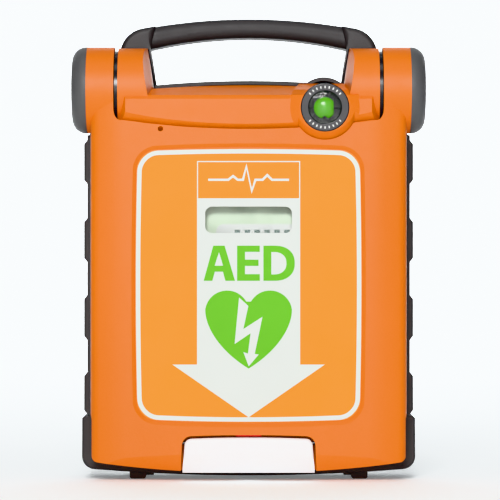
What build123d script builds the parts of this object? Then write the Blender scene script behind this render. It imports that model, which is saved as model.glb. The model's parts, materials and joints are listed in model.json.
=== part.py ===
from build123d import *
import math
import os

# Automated external defibrillator with a hinged front lid and a carry handle.
# Millimetres. X is across, the lid faces -Y, Z is up.
# The origin is on the floor under the middle of the case, halfway through its depth.

# ---- driving dimensions ----
WALL = 2.5
SPLIT_Y = -14.0
BACK_Y = 46.0

HINGE_Y = -14.0
HINGE_Z = 253.0
BARREL_R = 28.0
BARREL_BORE_R = 24.0
INNER_BARREL_R = 27.3
INNER_BARREL_X = 84.4
GROOVE_RING_X = 86.6
GROOVE_RING_R = 25.8
OUTER_BARREL_X = 87.0
OUTER_BARREL_END = 104.8
CRADLE_R = 28.9
CAP_END = 114.6
CAP_R = 28.2
CAP_ROUND = 9.0
PIN_R = 4.0
PIN_PLAY = 0.06
BUSH_R = 6.5

LID_HALF = 102.0
LID_FOOT_HALF = 101.2
LID_FACE_Y = -42.0
LID_CROWN = 0.5
LID_FLAT_HALF = 76.0
LID_SHOULDER_DROP = 5.0
LID_SIDE_R = 8.0
LID_RIM_Y = -14.3
LID_BOTTOM_MID = 5.4
LID_BOTTOM_SIDE = 13.1
LID_CORNER_R = 4.0
LID_CAVITY_TOP = 222.0
CHIN_TOP = 20.0
CHIN_R = 17.3
CHIN_DEEP = 9.5

ROLL_R_MID = 38.3
ROLL_R_END = 34.0
ROLL_HALF = 82.0
ROLL_CORNER = 5.0
BAR_GAP = 2.0
BOSS_GAP = 0.9

STATUS_X = 49.0
STATUS_Z = 240.6
SCALLOP_R = 20.5
RING_R = 15.6
RING_BORE_R = 10.3
RING_FRONT_Y = -46.0
RING_BACK_Y = -28.0
BOSS_FRONT_Y = -45.4
CUP_R = 12.0
CUP_FRONT_Y = -42.5
CUP_BACK_Y = -26.5
DISC_R = 6.9
DISC_Y = -36.5
DISC_DOME = 2.0
DISC_BALL_R = 16.6
DISC_PIN_R = 0.4

BASE_HALF = 103.8
BASE_BOTTOM_MID = 5.0
BASE_BOTTOM_SIDE = 9.3
BASE_TOP_MID = 259.3
BASE_TOP_SIDE = 250.9
BASE_FOOT_R = 6.0
BASE_BACK_R = 9.0
BULGE_R = 18.8
BULGE_Z = 242.9
BULGE_BACK_Y = 8.0

BAR_FRONT_Y = -42.2
BAR_HALF = 83.5
BAR_BACK_Y = -11.5
BAR_TOP_MID = 256.2
BAR_TOP_SIDE = 251.2

HANDLE_TOP = 300.3
HANDLE_HALF = 84.2
HANDLE_ARC_R = 380.0
HANDLE_CORNER_R = 18.0
HANDLE_RIM_R = 3.5
HANDLE_FRONT_Y = -11.0
HANDLE_BACK_Y = 26.0
LEG_SHOWS = 1.8
GRIP_FRONT_Y = -7.0
GRIP_BACK_Y = 24.0
GRIP_UNDER = 287.8
GRIP_UNDER_SIDE = 280.4
GRIP_ROUND = 5.5
SLEEVE = 2.4
SLEEVE_HALF = 60.0
POST_X = 74.0
POST_Y = 20.0
POST_R = 5.1

LABEL_HALF = 76.0
LABEL_LOW = 35.2
LABEL_HIGH = 217.5
LABEL_CORNER = 16.5
LABEL_INSET = 3.2
LABEL_THICK = 0.4
RECESS_DEEP = 1.4
WINDOW_HALF = 27.9
WINDOW_LOW = 159.9
WINDOW_HIGH = 177.0
WINDOW_CORNER = 4.5
PORT_X = -56.6
PORT_Z = 227.0
PORT_R = 1.7
LINER_Y = -36.5
LINER_BACK_Y = -35.0
LINER_SCREW_Y = -37.0
LINER_HALF = 91.4

DECK_FRONT_Y = -14.0
DECK_STEP_Y = -12.0
DECK_BACK_Y = -9.5
DECK_TOP = 212.0
DECK_LIP = 2.6

WELL_HALF = 80.0
WELL_LOW = 92.0
WELL_HIGH = 204.0
WELL_BACK_Y = 2.0

BAY_HALF = 43.4
BAY_LOW = 99.6
BAY_HIGH = 200.4
BAY_FRONT_Y = 12.0
BAY_WALL = 2.0
LATCH_SPRING_TOP = 227.9

PADDLE_TOP_HALF = 40.9
PADDLE_FOOT_HALF = 42.6
PADDLE_TOP = 28.6
PADDLE_LOW = 5.6
PADDLE_GAP = 1.7
PADDLE_WALL = 3.0
PADDLE_BACK_Y = -31.0
PADDLE_PIN_Y = -38.0
PADDLE_PIN_Z = 25.0
PADDLE_PIN_R = 1.2
POCKET_BACK_Y = -24.0
POCKET_HALF = 46.8
HOOK_HALF = 6.0

PANEL_FRONT_Y = -17.0
SHOCK_X = 40.0
SHOCK_Z = 51.0
SHOCK_R = 16.2
KEY_X = -1.0
KEY_Z = 66.0
KEY_R = 5.5
DISPLAY = (-82.0, -20.0, 33.0, 70.0)
SOCKET = (-10.0, 8.0, 31.0, 42.0)
SPEAKER_X = 75.5
SPEAKER_Z = 51.0
BOARD_Y = 2.0
BOARD_BACK_Y = 3.6

SCREW_PLACES = [(side * 94.8, z) for side in (-1, 1) for z in (30.0, 118.0, 203.0)]
BUMP_BANDS = [(192.1, 220.7), (141.3, 169.9), (90.5, 119.8), (42.3, 69.7)]
STRIP_X = 105.1
BUMP_X = 107.3
BUMPER_X = 108.6
BUMPER_TOP = 41.0
USB_Y = (2.0, 24.0)
USB_Z = (122.4, 138.6)
USB_HINGE_Y = 23.4
USB_BEAD_R = 0.5
LINER_POSTS = [(side * x, z) for side in (-1, 1) for x, z in ((88, 48), (88, 128), (80, 200))]
BOARD_PLACES = [(side * 84.0, z) for side in (-1, 1) for z in (20.0, 80.0)]

HINGE_AXIS = Axis((0, HINGE_Y, HINGE_Z), (1, 0, 0))
HINGE_PLANE = Plane(origin=(0, HINGE_Y, HINGE_Z), x_dir=(1, 0, 0), z_dir=(0, -1, 0))


# ---- building blocks ----
def block(x_low, x_high, y_low, y_high, z_low, z_high):
    centre = ((x_low + x_high) / 2, (y_low + y_high) / 2, (z_low + z_high) / 2)
    return Pos(*centre) * Box(x_high - x_low, y_high - y_low, z_high - z_low)


def rod_x(radius, x_low, x_high, y, z):
    return Pos((x_low + x_high) / 2, y, z) * Rot(0, 90, 0) * Cylinder(radius, x_high - x_low)


def rod_y(radius, y_low, y_high, x, z):
    return Pos(x, (y_low + y_high) / 2, z) * Rot(90, 0, 0) * Cylinder(radius, y_high - y_low)


def rod_z(radius, z_low, z_high, x, y):
    return Pos(x, y, (z_low + z_high) / 2) * Cylinder(radius, z_high - z_low)


def front_prism(sketch, y_low, y_high):
    """Front-view sketch (X, Z) pushed through the depth from y_high forward to y_low."""
    return extrude(Plane.XZ.offset(-y_high) * sketch, y_high - y_low)


def side_prism(sketch, x_low, x_high):
    """Side-view sketch (Y, Z) pushed across from x_low to x_high."""
    return extrude(Plane.YZ.offset(x_low) * sketch, x_high - x_low)


def plan_prism(sketch, z_low, z_high):
    """Plan sketch (X, Y) pushed up from z_low to z_high."""
    return extrude(Plane.XY.offset(z_low) * sketch, z_high - z_low)


def both_sides(part):
    return part + mirror(part, about=Plane.YZ)


def rounded_panel(x_low, x_high, z_low, z_high, corner):
    centre = Pos((x_low + x_high) / 2, (z_low + z_high) / 2)
    return centre * RectangleRounded(x_high - x_low, z_high - z_low, corner)


def window_panel(grow):
    return rounded_panel(-WINDOW_HALF - grow, WINDOW_HALF + grow, WINDOW_LOW - grow,
                         WINDOW_HIGH + grow, WINDOW_CORNER + grow)


def coil(radius, wire_r, turns, length):
    """Helical spring along +Z from the origin."""
    path = Helix(pitch=length / turns, height=length, radius=radius)
    section = Plane(origin=path @ 0, z_dir=path % 0) * Circle(wire_r)
    return sweep(section, path=path)


def group(parts):
    return Compound(children=list(parts))


# ---- shapes shared by the lid and the hinge bridge ----
def hinge_roll(grow):
    """Turned solid round the hinge line that the lid's upper edge swings past."""
    half = ROLL_HALF + ROLL_CORNER + grow
    end_r = ROLL_R_END + grow
    low_r = end_r - ROLL_CORNER
    arc_half = half - ROLL_CORNER
    lean = ROLL_CORNER * (1 - math.sqrt(0.5))
    profile = make_face([
        ThreePointArc((-arc_half, end_r), (0, ROLL_R_MID + grow), (arc_half, end_r)),
        ThreePointArc((arc_half, end_r), (half - lean, end_r - lean), (half, low_r)),
        Polyline((half, low_r), (half, 0), (-half, 0), (-half, low_r)),
        ThreePointArc((-half, low_r), (-half + lean, end_r - lean), (-arc_half, end_r)),
    ])
    return revolve(HINGE_PLANE * profile, HINGE_AXIS)


def scallop_roll(grow):
    """Turned bulge round the hinge line that clears the round status boss."""
    reach = SCALLOP_R - 1.5
    drop = HINGE_Z - STATUS_Z
    front = HINGE_Y - LID_FACE_Y
    offsets = [reach * step for step in (-1, -0.8, -0.45, 0, 0.45, 0.8, 1)]
    points = []
    for offset in offsets:
        below = drop + math.sqrt(SCALLOP_R ** 2 - offset ** 2)
        points.append((STATUS_X + offset, math.hypot(front, below) + grow))
    sides = Polyline(points[-1], (STATUS_X + reach, 0), (STATUS_X - reach, 0), points[0])
    profile = make_face([Spline(*points), sides])
    return revolve(HINGE_PLANE * profile, HINGE_AXIS)


def inner_barrel():
    """Right-hand barrel of the bridge; its inboard face leans away towards the back."""
    barrel = rod_x(INNER_BARREL_R, 50, INNER_BARREL_X, HINGE_Y, HINGE_Z)
    lean = Plane(origin=(66, LID_FACE_Y, HINGE_Z), z_dir=(0.962, 0.192, -0.192))
    return split(barrel, bisect_by=lean, keep=Keep.TOP)


# ---- lid ----
def lid_plan(inset):
    """Plan of the lid: a slightly crowned face, shoulders that curve back, and straight sides."""
    half = LID_HALF - inset
    face_y = LID_FACE_Y + inset
    flat_y = face_y + LID_CROWN
    reach = half - LID_FLAT_HALF
    bend_r = (reach ** 2 + LID_SHOULDER_DROP ** 2) / (2 * LID_SHOULDER_DROP)
    half_turn = math.asin(reach / bend_r) / 2
    middle = (LID_FLAT_HALF + bend_r * math.sin(half_turn), flat_y + bend_r * (1 - math.cos(half_turn)))
    end = (half, flat_y + LID_SHOULDER_DROP)
    face = make_face([
        ThreePointArc((-LID_FLAT_HALF, flat_y), (0, face_y), (LID_FLAT_HALF, flat_y)),
        ThreePointArc((LID_FLAT_HALF, flat_y), middle, end),
        Polyline(end, (half, LID_RIM_Y), (-half, LID_RIM_Y), (-end[0], end[1])),
        ThreePointArc((-end[0], end[1]), (-middle[0], middle[1]), (-LID_FLAT_HALF, flat_y)),
    ])
    corners = face.vertices().filter_by(lambda point: abs(point.X) > half - 0.01 and point.Y < LID_RIM_Y - 1)
    return fillet(corners, LID_SIDE_R - inset)


def lid_outline(inset, top):
    half = LID_HALF - inset
    foot = LID_FOOT_HALF - inset
    side_z = LID_BOTTOM_SIDE + inset
    low = ThreePointArc((-foot, side_z), (0, LID_BOTTOM_MID + inset), (foot, side_z))
    right = [(foot, side_z), (foot, 40), (half, 44), (half, top)]
    left = [(-x, z) for x, z in reversed(right)]
    face = make_face([low, Polyline(*right, *left)])
    return fillet(face.vertices().sort_by(Axis.Y)[:2], LID_CORNER_R)


def lid_chin(inset):
    """Side view of the lid with its lower front edge rolled under."""
    front = LID_FACE_Y + inset
    radius = CHIN_R - inset
    end_angle = math.acos(1 - CHIN_DEEP / radius)

    def on_roll(angle):
        return front + radius * (1 - math.cos(angle)), CHIN_TOP - radius * math.sin(angle)

    foot = on_roll(end_angle)
    curve = ThreePointArc((front, CHIN_TOP), on_roll(end_angle / 2), foot)
    rest = Polyline(foot, (foot[0], 0), (0, 0), (0, 300), (front, 300), (front, CHIN_TOP))
    return make_face([curve, rest])


def lid_layer(inset, top):
    """Solid inside the lid's outer skin, moved in by inset."""
    solid = plan_prism(lid_plan(inset), 0, top)
    solid &= front_prism(lid_outline(inset, top), -60, LID_RIM_Y)
    return solid & side_prism(lid_chin(inset), -120, 120)


def label_outline(inset):
    side = LABEL_HALF - 1.3 - inset
    low_side = LABEL_LOW + 1.9 + inset
    high_side = LABEL_HIGH - 1.5 - inset
    middle = (LABEL_LOW + LABEL_HIGH) / 2
    panel = make_face([
        ThreePointArc((-side, low_side), (0, LABEL_LOW + inset), (side, low_side)),
        ThreePointArc((side, low_side), (LABEL_HALF - inset, middle), (side, high_side)),
        ThreePointArc((side, high_side), (0, LABEL_HIGH - inset), (-side, high_side)),
        ThreePointArc((-side, high_side), (inset - LABEL_HALF, middle), (-side, low_side)),
    ])
    return fillet(panel.vertices(), LABEL_CORNER - inset)


def label_recess():
    """Shallow tray in the lid's face, with sloping sides and a floor that follows the crown."""
    margin = LID_CROWN + 0.1
    mouth = Plane.XZ.offset(margin - LID_FACE_Y) * label_outline(-1.0)
    floor = Plane.XZ.offset(-RECESS_DEEP - margin - LID_FACE_Y) * label_outline(LABEL_INSET)
    return loft([floor, mouth]) - plan_prism(lid_plan(RECESS_DEEP), 0, HINGE_Z)


def paddle_outline(grow, low):
    top_half = PADDLE_TOP_HALF + grow
    foot_half = PADDLE_FOOT_HALF + grow
    top = PADDLE_TOP + grow
    face = make_face([
        ThreePointArc((top_half, top - 1.0), (0, top), (-top_half, top - 1.0)),
        Polyline((-top_half, top - 1.0), (-foot_half, low), (foot_half, low), (top_half, top - 1.0)),
    ])
    return fillet(face.vertices().sort_by(Axis.Y)[-2:], 4.5 + grow)


def lid_shell():
    outer = lid_layer(0, HINGE_Z)
    barrel = rod_x(BARREL_R, OUTER_BARREL_X, OUTER_BARREL_END, HINGE_Y, HINGE_Z)
    inside = lid_layer(WALL, LID_CAVITY_TOP) - hinge_roll(WALL) - scallop_roll(WALL)
    pocket = block(-POCKET_HALF, POCKET_HALF, LID_FACE_Y + WALL, POCKET_BACK_Y + 2, 0, PADDLE_TOP + 4.5)
    shell = (outer - (inside - pocket)) + both_sides(barrel)
    shell -= hinge_roll(0)
    shell -= scallop_roll(0)
    shell -= front_prism(paddle_outline(PADDLE_GAP, -5), -60, POCKET_BACK_Y)
    shell -= block(-HOOK_HALF - 1.5, HOOK_HALF + 1.5, POCKET_BACK_Y - 1, 0, -5, 12.5)
    shell -= label_recess()
    shell -= front_prism(window_panel(0), -60, -30)
    shell -= rod_y(PORT_R, -60, -30, PORT_X, PORT_Z)
    shell -= rod_x(PADDLE_PIN_R, -45.6, 45.6, PADDLE_PIN_Y, PADDLE_PIN_Z)
    bore = rod_x(BARREL_BORE_R, OUTER_BARREL_X + 3, OUTER_BARREL_END + 1, HINGE_Y, HINGE_Z)
    bore += rod_x(BUSH_R, OUTER_BARREL_X - 1, OUTER_BARREL_X + 4, HINGE_Y, HINGE_Z)
    shell -= both_sides(bore)
    for x, z in LINER_POSTS:
        post = rod_y(3.0, LID_FACE_Y, LINER_Y, x, z) & lid_layer(1, LID_CAVITY_TOP)
        shell += post - rod_y(1.2, LINER_SCREW_Y - 0.4, LINER_Y + 1, x, z)
    return shell


def lid_liner():
    """Flat inner panel of the lid, hung on six posts, with an opening behind the window."""
    sheet = front_prism(rounded_panel(-LINER_HALF, LINER_HALF, 36, 209, 8), LINER_Y, LINER_BACK_Y)
    sheet -= hinge_roll(WALL + 0.5)
    sheet -= scallop_roll(WALL + 0.5)
    sheet -= front_prism(window_panel(6), -40, -30)
    for low in range(60, 150, 14):
        rib = rounded_panel(-60, 60, low, low + 3, 1.4)
        sheet += front_prism(rib, LINER_BACK_Y - 0.5, LINER_BACK_Y + 1.2)
    for x, z in LINER_POSTS:
        sheet -= rod_y(1.4, -40, -30, x, z)
    return sheet


def lid_screws():
    screws = []
    for x, z in LINER_POSTS:
        shank = rod_y(1.2, LINER_SCREW_Y, LINER_BACK_Y, x, z)
        screws.append(shank + rod_y(2.6, LINER_BACK_Y, LINER_BACK_Y + 1.6, x, z))
    return group(screws)


def lid_label():
    layer = plan_prism(lid_plan(RECESS_DEEP - LABEL_THICK), 0, HINGE_Z)
    layer -= plan_prism(lid_plan(RECESS_DEEP), 0, HINGE_Z)
    film = front_prism(label_outline(LABEL_INSET), -60, -30) & layer
    return film - front_prism(window_panel(0), -60, -30)


def lid_window():
    """Clear pane: a flange behind the lid's wall and a plug that fills the opening."""
    flange = front_prism(window_panel(4), -60, -38.0) & plan_prism(lid_plan(WALL), 0, HINGE_Z)
    plug = front_prism(window_panel(-0.05), -60, -39.0) & plan_prism(lid_plan(RECESS_DEEP), 0, HINGE_Z)
    return flange + plug


def lid_magnet():
    return rod_y(4.0, -38.5, LINER_Y - 0.1, -70, 60)


def hinge_bushes():
    bush = rod_x(BUSH_R, OUTER_BARREL_X + 0.1, OUTER_BARREL_X + 6, HINGE_Y, HINGE_Z)
    bush += rod_x(BUSH_R + 2, OUTER_BARREL_X + 3, OUTER_BARREL_X + 5, HINGE_Y, HINGE_Z)
    bush -= rod_x(PIN_R + PIN_PLAY, OUTER_BARREL_X - 1, OUTER_BARREL_X + 9, HINGE_Y, HINGE_Z)
    return group([bush, mirror(bush, about=Plane.YZ)])


def right_cap():
    """Domed cap that plugs the open end of the right-hand lid barrel."""
    dome = rod_x(CAP_R, OUTER_BARREL_END, CAP_END, HINGE_Y, HINGE_Z)
    rim = dome.edges().filter_by(lambda edge: edge.center().X > CAP_END - 0.01)
    dome = fillet(rim, CAP_ROUND)
    spigot = rod_x(BARREL_BORE_R, OUTER_BARREL_END - 4, OUTER_BARREL_END, HINGE_Y, HINGE_Z)
    spigot -= rod_x(BARREL_BORE_R - 2, OUTER_BARREL_END - 5, OUTER_BARREL_END + 1, HINGE_Y, HINGE_Z)
    hollow = rod_x(BARREL_BORE_R - 5, OUTER_BARREL_END - 1, CAP_END - 3, HINGE_Y, HINGE_Z)
    return dome + spigot - hollow


def left_cap():
    return mirror(right_cap(), about=Plane.YZ)


def latch_pin():
    return rod_x(PADDLE_PIN_R, -45.6, 45.6, PADDLE_PIN_Y, PADDLE_PIN_Z)


def latch_spring():
    turns = coil(1.75, 0.3, 8, 9.0)
    return Pos(11, PADDLE_PIN_Y, PADDLE_PIN_Z) * Rot(0, 90, 0) * turns


def latch_keeper():
    """Small coloured stop in the gap above the paddle."""
    return block(-8.2, 8.2, -41.2, -38.2, 29.5, PADDLE_TOP + PADDLE_GAP - 0.06)


# ---- latch paddle ----
def latch_paddle():
    skin = front_prism(paddle_outline(0, PADDLE_LOW), -60, PADDLE_BACK_Y)
    skin &= side_prism(lid_chin(0), -60, 60) & plan_prism(lid_plan(0), 0, 60)
    top_edges = skin.edges().filter_by(lambda edge: edge.center().Z > 26 and edge.center().Y < -40)
    skin = fillet(top_edges, 2.0)
    inner = front_prism(paddle_outline(-PADDLE_WALL, PADDLE_LOW + 2), -60, PADDLE_BACK_Y + 1)
    inner &= side_prism(lid_chin(PADDLE_WALL), -60, 60)
    paddle = skin - inner
    for x_low in (-38, -20, 26, 34):
        lug = rod_x(2.6, x_low, x_low + 4, PADDLE_PIN_Y, PADDLE_PIN_Z)
        paddle += lug + block(x_low, x_low + 4, -40, PADDLE_PIN_Y, PADDLE_PIN_Z - 2, PADDLE_PIN_Z + 2.6)
    arm = block(-HOOK_HALF, HOOK_HALF, -34.5, -17.3, 7.2, 9.2)
    arm += block(-HOOK_HALF, HOOK_HALF, -19.3, -17.3, 9.2, 11.0)
    arm += block(-1.2, 1.2, -38, -26, 9.2, 14)
    paddle += arm
    paddle -= rod_x(2.7, 9, 22, PADDLE_PIN_Y, PADDLE_PIN_Z)
    paddle -= rod_x(PADDLE_PIN_R + PIN_PLAY, -50, 50, PADDLE_PIN_Y, PADDLE_PIN_Z)
    return paddle


# ---- base case ----
def base_outline(inset):
    half = BASE_HALF - inset
    low_side = BASE_BOTTOM_SIDE + inset
    high_side = BASE_TOP_SIDE - inset
    face = make_face([
        ThreePointArc((-half, low_side), (0, BASE_BOTTOM_MID + inset), (half, low_side)),
        Line((half, low_side), (half, high_side)),
        ThreePointArc((half, high_side), (0, BASE_TOP_MID - inset), (-half, high_side)),
        Line((-half, high_side), (-half, low_side)),
    ])
    low_corners = face.vertices().sort_by(Axis.Y)[:2]
    return fillet(low_corners, BASE_FOOT_R - inset)


def base_solid(inset, front_y):
    """Case block with its back edges rounded, moved in by inset."""
    solid = front_prism(base_outline(inset), front_y, BACK_Y - inset)
    back = solid.edges().filter_by(lambda edge: edge.center().Y > BACK_Y - inset - 0.01)
    return fillet(back, BASE_BACK_R - inset)


def outer_barrel_space(radius):
    return both_sides(rod_x(radius, INNER_BARREL_X, 125, HINGE_Y, HINGE_Z))


def rear_shell():
    bulge = rod_y(BULGE_R, SPLIT_Y, BULGE_BACK_Y, STATUS_X, BULGE_Z)
    outer = base_solid(0, SPLIT_Y) + bulge
    bay_half = BAY_HALF + BAY_WALL
    bay = block(-bay_half, bay_half, BAY_FRONT_Y - BAY_WALL, BACK_Y, BAY_LOW - BAY_WALL, BAY_HIGH + BAY_WALL)
    inside = base_solid(WALL, SPLIT_Y - 10) - bay
    inside += rod_y(BULGE_R - WALL, SPLIT_Y - 10, BULGE_BACK_Y - WALL, STATUS_X, BULGE_Z)
    cradle = outer_barrel_space(CRADLE_R + WALL) & outer
    shell = (outer - inside) + cradle
    for x, z in SCREW_PLACES:
        shell += rod_y(4.6, DECK_BACK_Y, BACK_Y - 1, x, z)
    for x, z in SCREW_PLACES:
        shell -= rod_y(1.7, SPLIT_Y, BACK_Y + 1, x, z)
        shell -= rod_y(3.8, BACK_Y - 6, BACK_Y + 1, x, z)
    shell += block(-4, 4, BACK_Y - 8, BACK_Y - 2, LATCH_SPRING_TOP, LATCH_SPRING_TOP + 2)
    shell -= outer_barrel_space(CRADLE_R)
    shell -= both_sides(inner_barrel())
    shell -= both_sides(rod_x(INNER_BARREL_R, 70, INNER_BARREL_X + 0.5, HINGE_Y, HINGE_Z))
    shell -= block(-BAY_HALF, BAY_HALF, BAY_FRONT_Y, BACK_Y + 1, BAY_LOW, BAY_HIGH)
    shell -= front_prism(rounded_panel(-12.3, 12.3, 206.7, 221, 1.5), BACK_Y - 8, BACK_Y + 1)
    shell -= block(-BASE_HALF - 1, -BASE_HALF + WALL + 1, 5.4, 18.6, 126.6, 134.4)
    for x in (-14, 2, 10):
        shell -= block(x, x + 4, BAY_FRONT_Y - 5, BAY_FRONT_Y + 1, 106, 112)
    shell -= back_ribs()
    return shell - both_sides(rod_z(POST_R + 0.1, 240, 262, POST_X, POST_Y))


def back_ribs():
    """Shallow grip grooves across the lower back of the case."""
    grooves = [front_prism(rounded_panel(-60, 60, z, z + 3, 1.4), BACK_Y - 0.9, BACK_Y + 1)
               for z in range(30, 84, 8)]
    return Part() + grooves


def deck_outline(inset):
    sketch = base_outline(WALL + 0.3 + inset)
    return sketch & (Pos(0, DECK_TOP / 2) * Rectangle(400, DECK_TOP - 2 * inset))


def front_deck():
    """Inner front panel with a well for the pads and openings for the controls."""
    deck = front_prism(deck_outline(0), DECK_STEP_Y, DECK_BACK_Y)
    deck += front_prism(deck_outline(DECK_LIP), DECK_FRONT_Y, DECK_STEP_Y)
    deck += front_prism(rounded_panel(-WELL_HALF - 2, WELL_HALF + 2, WELL_LOW - 2, WELL_HIGH + 2, 8),
                        DECK_BACK_Y, WELL_BACK_Y + 2)
    deck -= front_prism(rounded_panel(-WELL_HALF, WELL_HALF, WELL_LOW, WELL_HIGH, 6), -20, WELL_BACK_Y)
    deck -= rod_y(SHOCK_R + 3.2, -20, 0, SHOCK_X, SHOCK_Z)
    deck -= rod_y(KEY_R + 2.0, -20, 0, KEY_X, KEY_Z)
    deck -= rod_y(12.2, -20, 0, SPEAKER_X, SPEAKER_Z)
    x_low, x_high, z_low, z_high = DISPLAY
    deck -= front_prism(rounded_panel(x_low - 2, x_high + 2, z_low - 2, z_high + 2, 3), -20, 0)
    deck -= front_prism(rounded_panel(*SOCKET, 2), -20, 0)
    for x, z in SCREW_PLACES:
        deck -= rod_y(1.4, DECK_STEP_Y + 0.5, 0, x, z)
    for x, z in BOARD_PLACES:
        deck += rod_y(3.0, DECK_BACK_Y, BOARD_Y, x, z) - rod_y(1.1, DECK_BACK_Y + 2, BOARD_Y + 1, x, z)
    return deck


def deck_gasket():
    ring = deck_outline(0.2) - deck_outline(DECK_LIP - 0.1)
    return front_prism(ring, DECK_FRONT_Y + 0.1, DECK_STEP_Y)


# ---- hinge bridge with the status boss ----
def bar_profile():
    face = make_face(Polyline(
        (BAR_BACK_Y, 205), (BAR_BACK_Y, 258), (-14, 257.0), (-33.5, 250.6), (-40.2, 248.6),
        (BAR_FRONT_Y, 246.2), (BAR_FRONT_Y, 205), (BAR_BACK_Y, 205)))
    return face


def boss_profile():
    """Side view of the space that the status boss may fill, just above the bar's sloping top."""
    return make_face(Polyline((-60, 205), (-60, 248.6), (-42.2, 248.6), (-33.5, 252.4), (-14, 257.4),
                              (-14, 205), (-60, 205)))


def bar_front_view(half, top_mid, top_side):
    return make_face([
        ThreePointArc((half, top_side), (0, top_mid), (-half, top_side)),
        Polyline((-half, top_side), (-half, 205), (half, 205), (half, top_side)),
    ])


def hinge_bridge():
    """Bar between the lid's barrels, with its own two barrels and the round status boss."""
    ends = make_face(Polyline((-79.2, -60), (79.2, -60), (79.2, BAR_FRONT_Y), (BAR_HALF, BAR_FRONT_Y + 7),
                              (BAR_HALF, 0), (-BAR_HALF, 0), (-BAR_HALF, BAR_FRONT_Y + 7),
                              (-79.2, BAR_FRONT_Y), (-79.2, -60)))
    bar = side_prism(bar_profile(), -BAR_HALF, BAR_HALF) & plan_prism(ends, 200, 300)
    bar &= front_prism(bar_front_view(BAR_HALF, BAR_TOP_MID, BAR_TOP_SIDE), -60, 0)
    bar &= hinge_roll(-BAR_GAP)
    cone_long = BOSS_FRONT_Y - BAR_BACK_Y
    boss_back_r = 16.2 + abs(cone_long) * 1.9
    boss = Pos(STATUS_X, (BOSS_FRONT_Y + BAR_BACK_Y) / 2, STATUS_Z) * Rot(90, 0, 0) * Cone(
        boss_back_r, 16.2, abs(cone_long))
    collar = rod_y(23.2, BOSS_FRONT_Y - 1, BAR_BACK_Y, STATUS_X, STATUS_Z)
    boss = boss & collar & (hinge_roll(-BAR_GAP) + scallop_roll(-BOSS_GAP))
    boss &= side_prism(boss_profile(), 0, BAR_HALF)
    hollow = make_face(Polyline((-38.8, 205), (-38.8, 246), (-32, 247.4), (-14, 253),
                                (0, 253), (0, 205), (-38.8, 205)))
    space = side_prism(hollow, -62, 62) & (hinge_roll(-BAR_GAP - 3) + scallop_roll(-BOSS_GAP - 3.2))
    space &= front_prism(bar_front_view(62, BAR_TOP_MID - 3, BAR_TOP_SIDE - 1), -60, 0)
    barrel = inner_barrel() - front_prism(hand_opening(LEG_SHOWS), -60, 60)
    barrel -= rod_x(BARREL_BORE_R, 71, 81, HINGE_Y, HINGE_Z)
    barrel -= block(71, 81, -9, 20, 220, HINGE_Z)
    bridge = bar + boss + both_sides(barrel) - space
    bridge -= rod_y(CUP_R + 0.05, -60, 0, STATUS_X, STATUS_Z)
    bridge -= rod_y(RING_R + 0.1, -60, RING_BACK_Y, STATUS_X, STATUS_Z)
    bridge -= both_sides(rod_x(PIN_R, 60, 90, HINGE_Y, HINGE_Z))
    return bridge


def hinge_pins():
    pin = rod_x(PIN_R, 71, 97, HINGE_Y, HINGE_Z)
    pin = chamfer(pin.edges().filter_by(GeomType.CIRCLE), 0.6)
    return group([pin, mirror(pin, about=Plane.YZ)])


def hinge_rings():
    ring = rod_x(GROOVE_RING_R, INNER_BARREL_X, GROOVE_RING_X, HINGE_Y, HINGE_Z)
    ring -= rod_x(PIN_R + 0.02, INNER_BARREL_X - 1, GROOVE_RING_X + 1, HINGE_Y, HINGE_Z)
    return group([ring, mirror(ring, about=Plane.YZ)])


# ---- status indicator ----
def indicator_ring():
    """Round collar that holds the lens and the cup."""
    ring = rod_y(RING_R, RING_FRONT_Y, RING_BACK_Y, STATUS_X, STATUS_Z)
    ring -= rod_y(RING_BORE_R, RING_FRONT_Y - 1, CUP_FRONT_Y + 1, STATUS_X, STATUS_Z)
    ring -= rod_y(CUP_R, CUP_FRONT_Y, RING_BACK_Y + 1, STATUS_X, STATUS_Z)
    front = ring.edges().filter_by(lambda edge: edge.center().Y < RING_FRONT_Y + 0.01)
    return fillet(front, 0.7)


def indicator_lens():
    """Clear disc whose outer face bulges slightly."""
    disc = rod_y(RING_BORE_R - 0.05, RING_FRONT_Y - 2, -44.4, STATUS_X, STATUS_Z)
    ball_r = 60.0
    return disc & (Pos(STATUS_X, RING_FRONT_Y + 0.1 + ball_r, STATUS_Z) * Sphere(ball_r))


def indicator_cup():
    cup = rod_y(CUP_R, CUP_FRONT_Y, CUP_BACK_Y, STATUS_X, STATUS_Z)
    cup -= rod_y(RING_BORE_R, CUP_FRONT_Y - 1, CUP_BACK_Y - 1.5, STATUS_X, STATUS_Z)
    return cup - rod_x(DISC_PIN_R + PIN_PLAY, STATUS_X - 11, STATUS_X + 11, DISC_Y, STATUS_Z)


def indicator_disc():
    """Flip disc, domed on both faces, with one flat side and a notch at its foot."""
    disc = rod_y(DISC_R, DISC_Y - DISC_DOME, DISC_Y + DISC_DOME, STATUS_X, STATUS_Z)
    for side in (-1, 1):
        disc &= Pos(STATUS_X, DISC_Y + side * (DISC_BALL_R - DISC_DOME), STATUS_Z) * Sphere(DISC_BALL_R)
    disc -= block(STATUS_X + 5.6, STATUS_X + 10, DISC_Y - 5, DISC_Y + 5, STATUS_Z - 10, STATUS_Z + 10)
    disc -= rod_y(1.7, DISC_Y - 5, DISC_Y + 5, STATUS_X, STATUS_Z - DISC_R)
    return disc - rod_x(DISC_PIN_R, STATUS_X - 10, STATUS_X + 10, DISC_Y, STATUS_Z)


def indicator_axle():
    return rod_x(DISC_PIN_R, STATUS_X - 10.9, STATUS_X + 10.9, DISC_Y, STATUS_Z)


def indicator_coil():
    bobbin = rod_y(7.0, CUP_BACK_Y, -14.5, STATUS_X, STATUS_Z)
    groove = rod_y(8.0, -25.3, -15.7, STATUS_X, STATUS_Z) - rod_y(6.0, -27, -14, STATUS_X, STATUS_Z)
    return bobbin - groove


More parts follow.
